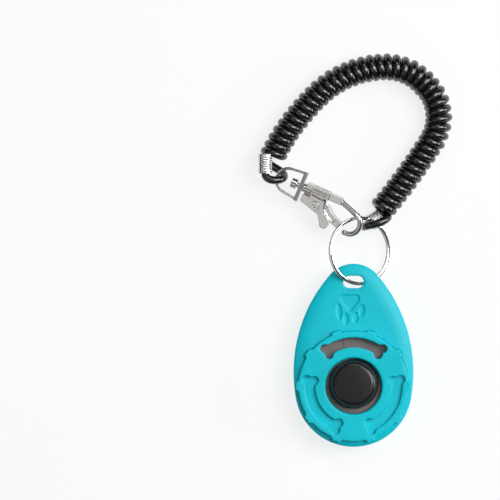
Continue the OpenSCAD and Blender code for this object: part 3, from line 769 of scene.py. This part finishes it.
def build_trim_ring():
    bones = []
    for turn in (0, 120, 240):
        t = math.radians(90 + turn)
        cx, cy = BONE_AT * math.cos(t), BONE_AT * math.sin(t)
        loops = contour(lambda x, y: bone_field(x, y, turn), (cx - BONE_REACH, cy - BONE_REACH),
                        (cx + BONE_REACH, cy + BONE_REACH), BONE_GRID)
        bones.append(even(max(loops, key=len), BONE_STEP))
    well = circle_loop(WELL_R, WELL_STEP)
    trim = plate("front_trim_ring", TRIM_OUTLINE, [well] + bones, TRIM_FROM, TRIM_H, TRIM_BEVEL,
                 [WELL_BEVEL] + [BONE_BEVEL] * len(bones))
    holes = [well, moved(bones[0], LAYER_EASE)]
    circle = circle_loop(TRIM_R - FLOOR_EASE, CIRCLE_STEP)
    for name, outer, span in (("base", TRIM_OUTLINE, BASE_SPAN), ("floor", circle, FLOOR_SPAN)):
        layer = plate(name, outer, holes, *span, LAYER_BEVEL, [LAYER_HOLE_BEVEL] * 2, steps=2)
        combine(trim, layer, "UNION")
    return piece(trim, "case", trim_plastic, ["trim_ring"], sharp=50)


# The button: foot, the height of its straight wall, its rounded shoulder and the fall of its dome
FOOT_Z, STRAIGHT_Z, FOOT_CHAMFER, FOOT_INSET, DRAFT = 7.3, 12.0, 0.1, 0.05, 0.02
ROLL_W, ROLL_H, ROLL_FINE, DOME_FALL = 2.4, 2.75, 15, 0.15
BUTTON_SKIRT, BUTTON_POINTS = 7.1, 144
BUTTON_INSIDE = [(0, 11.6), (6.2, 11.6), (6.8, 11.2), (BUTTON_SKIRT, 10.4)]


def build_button():
    r = BUTTON_R - DRAFT
    profile = [(BUTTON_SKIRT, FOOT_Z), (BUTTON_R - FOOT_INSET, FOOT_Z), (BUTTON_R, FOOT_Z + FOOT_CHAMFER),
               (r, STRAIGHT_Z)]
    for a in np.radians(np.linspace(0, 90, ROLL_FINE)):
        profile.append((r - ROLL_W * (1 - math.cos(a)),
                        BUTTON_H - DOME_FALL - ROLL_H * (1 - math.sin(a))))
    for f in (0.8, 0.6, 0.4, 0.2):
        profile.append(((BUTTON_R - ROLL_W) * f, BUTTON_H - DOME_FALL * f * f))
    profile.append((0, BUTTON_H))
    cap = turned("push_button", profile + BUTTON_INSIDE, BUTTON_POINTS, (BUTTON_X, BUTTON_Y))
    return piece(cap, "button", button_plastic, ["button_cap"], sharp=50)


# ---------------------------------------------------------------- ring, cord and ferrules


def placed(matrix, line):
    return np.array([matrix @ Vector(p) for p in line])


RING_AT = Matrix.Translation((2.2, 48.7, 8.5)) @ Matrix.Rotation(math.radians(28), 4, "Y")
RING_R, RING_POINTS = 12.5 - 0.65, 420
# The wire's section, the rise from one turn to the next, and where it rises, in degrees
WIRE_W, WIRE_H, WIRE_ROUND, WIRE_FINE, TURN_RISE = 1.28, 0.74, 0.26, 4, 0.77
STEP_AT, STEP_HALF, END_GAP = 62, 14, 1.2
END_TAPER, END_TAPER_DEG = 0.10, 2.0


def build_split_ring():
    """One flat wire wound twice, with a step where it changes turn and a cut end on each face."""
    start = STEP_AT + STEP_HALF + END_GAP - 360
    end = STEP_AT + 360 - STEP_HALF - END_GAP
    line, sections = [], []
    for d in np.linspace(start, end, RING_POINTS):
        t = np.clip((d - (STEP_AT - STEP_HALF)) / (2 * STEP_HALF), 0, 1)
        z = -TURN_RISE / 2 + TURN_RISE * (t * t * (3 - 2 * t))
        a = math.radians(d)
        line.append((RING_R * math.cos(a), RING_R * math.sin(a), z))
        edge = min(d - start, end - d)
        taper = 1 - END_TAPER * max(0.0, 1 - edge / END_TAPER_DEG)
        sections.append(rounded_box(WIRE_W * taper, WIRE_H * taper, WIRE_ROUND * taper, WIRE_FINE))
    ring = sweep("split_ring_wire", placed(RING_AT, line), np.array(sections),
                 up=RING_AT.to_3x3() @ Vector((0, 0, 1)))
    return piece(ring, "ring", wire_nickel, ["split_ring"], sharp=60)


def build_cord():
    cord = sweep("coiled_cord", CORD, circle_section(CORD_R - CORD_EASE, CORD_SIDES))
    return piece(cord, "strap", cord_plastic,
                 ["coil", "ring_end_loop", "clasp_end_loop"], sharp=60, weighted=False)


# A ferrule's end radius, sheet, pressed ridges, rolled rims and rounded lips. SINK keeps the ridges
# inside the sleeve of the CAD, clear of the ring
SLEEVE_R, SHEET, KNURLS, RIDGE, SINK = 2.05, 0.38, 7, 0.11, 0.10
RIM_LEN, RIM, LIP, LIP_SINK = 0.55, 0.05, 0.10, 0.06
SLEEVE_POINTS, SLEEVE_RINGS, INNER_RINGS, SIDE_BLEND = 56, 90, 8, 3


def ferrule(name, at, turn, length, half_w, node):
    """A short crimped sleeve of thin sheet, with rolled rims and pressed grooves."""
    frame_of = Matrix.Translation(at) @ Euler([math.radians(a) for a in turn], "XYZ").to_matrix().to_4x4()
    half = half_w - SLEEVE_R

    def oval(extra, z):
        out = []
        for i in range(SLEEVE_POINTS):
            a = 2 * math.pi * i / SLEEVE_POINTS
            c, s = math.cos(a), math.sin(a)
            out.append((math.copysign(half, c) * min(1, abs(c) * SIDE_BLEND) + (SLEEVE_R + extra) * c,
                        (SLEEVE_R + extra) * s, z))
        return placed(frame_of, out)

    outer = []
    for z in np.linspace(0, length, SLEEVE_RINGS)[1:-1]:
        rim = RIM * max(0.0, 1 - min(z, length - z) / RIM_LEN)
        phase = (z - RIM_LEN) / (length - 2 * RIM_LEN) * KNURLS
        groove = 0.5 - 0.5 * math.cos(2 * math.pi * phase) if 0 < phase < KNURLS else 0.0
        outer.append(oval(rim + RIDGE * groove - SINK, z))
    inner = [oval(-SHEET, z) for z in np.linspace(length, 0, INNER_RINGS)[1:-1]]
    rings = [oval(-SHEET + LIP, 0.0), oval(-LIP, 0.0), oval(-LIP_SINK, LIP)] + outer
    rings += [oval(-LIP_SINK, length - LIP), oval(-LIP, length), oval(-SHEET + LIP, length)]
    rings += [oval(-SHEET, length - LIP)] + inner + [oval(-SHEET, LIP)]
    k = SLEEVE_POINTS
    faces = [f for i in range(len(rings)) for f in band(i * k, (i + 1) % len(rings) * k, k)]
    sleeve = to_object(name, [v for ring in rings for v in ring], faces)
    return piece(sleeve, "strap", rolled_nickel, [node], sharp=50)


# ---------------------------------------------------------------- clasp


CAST_VOXEL, CAST_ROUNDS, CAST_SHARP, CAST_GAP = 0.08, 3, 70, 0.002
BAIL_EASE = 0.07


def cast_copy(node, name, body, shrink=0.0):
    """The CAD node's shape with softened edges, as a small casting or pressed wire has."""
    obj = linked(name, NODES[node].data.copy())
    obj.data.transform(Matrix.Scale(1 / MM, 4))
    tidy(obj, CAST_GAP)
    soften(obj, CAST_VOXEL, CAST_ROUNDS)
    for vertex, out in [(v, v.normal.copy()) for v in obj.data.vertices]:
        vertex.co -= shrink * out
    return piece(obj, body, cast_nickel, [node], sharp=CAST_SHARP, weighted=False)


build_top_shell()
build_bottom_shell()
build_trim_ring()
build_button()
build_split_ring()
cord = build_cord()
ring_ferrule = ferrule("ferrule_at_ring", (6, 58.7, 2.15), (-90, 0, -59), 4.9, 3.2, "ring_end_ferrule")
clasp_ferrule = ferrule("ferrule_at_clasp", (-31.9, 76.6, 8.4), (-90, 0, 0), 7.0, 2.6,
                        "clasp_end_ferrule")
cast_copy("swivel_bail", "clasp_bail", "bail", shrink=BAIL_EASE)
cast_copy("swivel_pin", "clasp_pin", "strap")
cast_copy("hook_body", "clasp_hook", "strap")
cast_copy("gate_lever", "clasp_gate", "gate")
cast_copy("gate_rivet", "clasp_rivet", "strap")

for node, material in (("inner_plate", grey_plastic), ("button_post", grey_plastic),
                       ("reed_clip", grey_plastic), ("click_reed", spring_steel),
                       ("gate_spring", spring_steel)):
    obj = NODES[node]
    obj.data.materials.clear()
    obj.data.materials.append(material)

# ---------------------------------------------------------------- floor and light


FLOOR_HALF, FLOOR_DROP, FLOOR_SCALE = 3.0, 0.00005, 9
FLOOR_GREYS, FLOOR_GLOW = (0.18, 0.19), 0.80


def studio_floor():
    mesh = bpy.data.meshes.new("floor")
    s = FLOOR_HALF
    mesh.from_pydata([(-s, -s, 0), (s, -s, 0), (s, s, 0), (-s, s, 0)], [], [(0, 1, 2, 3)])
    floor = linked("studio_floor", mesh)
    floor.location.z = -FLOOR_DROP
    m = Nodes("floor")
    m.link(m.ramp(m.noise(FLOOR_SCALE), [(at, (grey,) * 3) for at, grey in zip(NOISE_SPAN, FLOOR_GREYS)]),
           m.bsdf.inputs["Base Color"])
    m.set(Roughness=0.9, Emission_Color=(1, 1, 1, 1), Emission_Strength=FLOOR_GLOW)
    mesh.materials.append(m.material)


LIGHT_TARGET = (0.0, 0.06, 0.0)


def soft_light(name, place, size, power):
    """A soft box that faces the middle of the object. Place and size are in metres."""
    data = bpy.data.lights.new(name, "AREA")
    data.shape = "RECTANGLE"
    data.size, data.size_y = size
    data.energy = power
    obj = linked(name, data)
    obj.location = place
    obj.rotation_euler = (Vector(LIGHT_TARGET) - Vector(place)).to_track_quat("-Z", "Y").to_euler()


studio_floor()
soft_light("key", (0.50, 0.22, 0.80), (0.40, 0.70), 6.6)
soft_light("rim", (0.92, 0.10, 0.34), (0.45, 0.12), 2.6)
soft_light("fill", (-0.58, -0.30, 0.66), (0.55, 0.40), 0.42)
soft_light("back", (0.10, 0.75, 0.85), (0.60, 0.16), 1.4)

world = bpy.data.worlds.new("world")
world.use_nodes = True
sky = world.node_tree
direction = sky.nodes.new("ShaderNodeTexCoord")
split = sky.nodes.new("ShaderNodeSeparateXYZ")
sky.links.new(direction.outputs["Generated"], split.inputs[0])
# Brightness against the height of the direction looked in: bright below the horizon, dark just
# above it, and brighter again towards the zenith
SKY_STOPS = [(0.0, 0.9), (0.04, 0.04), (0.50, 0.05), (0.75, 0.16), (0.90, 0.34), (1.0, 0.36)]
sky_ramp = colour_ramp(sky, [(height, (level,) * 3) for height, level in SKY_STOPS])
sky.links.new(split.outputs["Z"], sky_ramp.inputs["Fac"])
sky.links.new(sky_ramp.outputs["Color"], sky.nodes["Background"].inputs["Color"])
scene.world = world
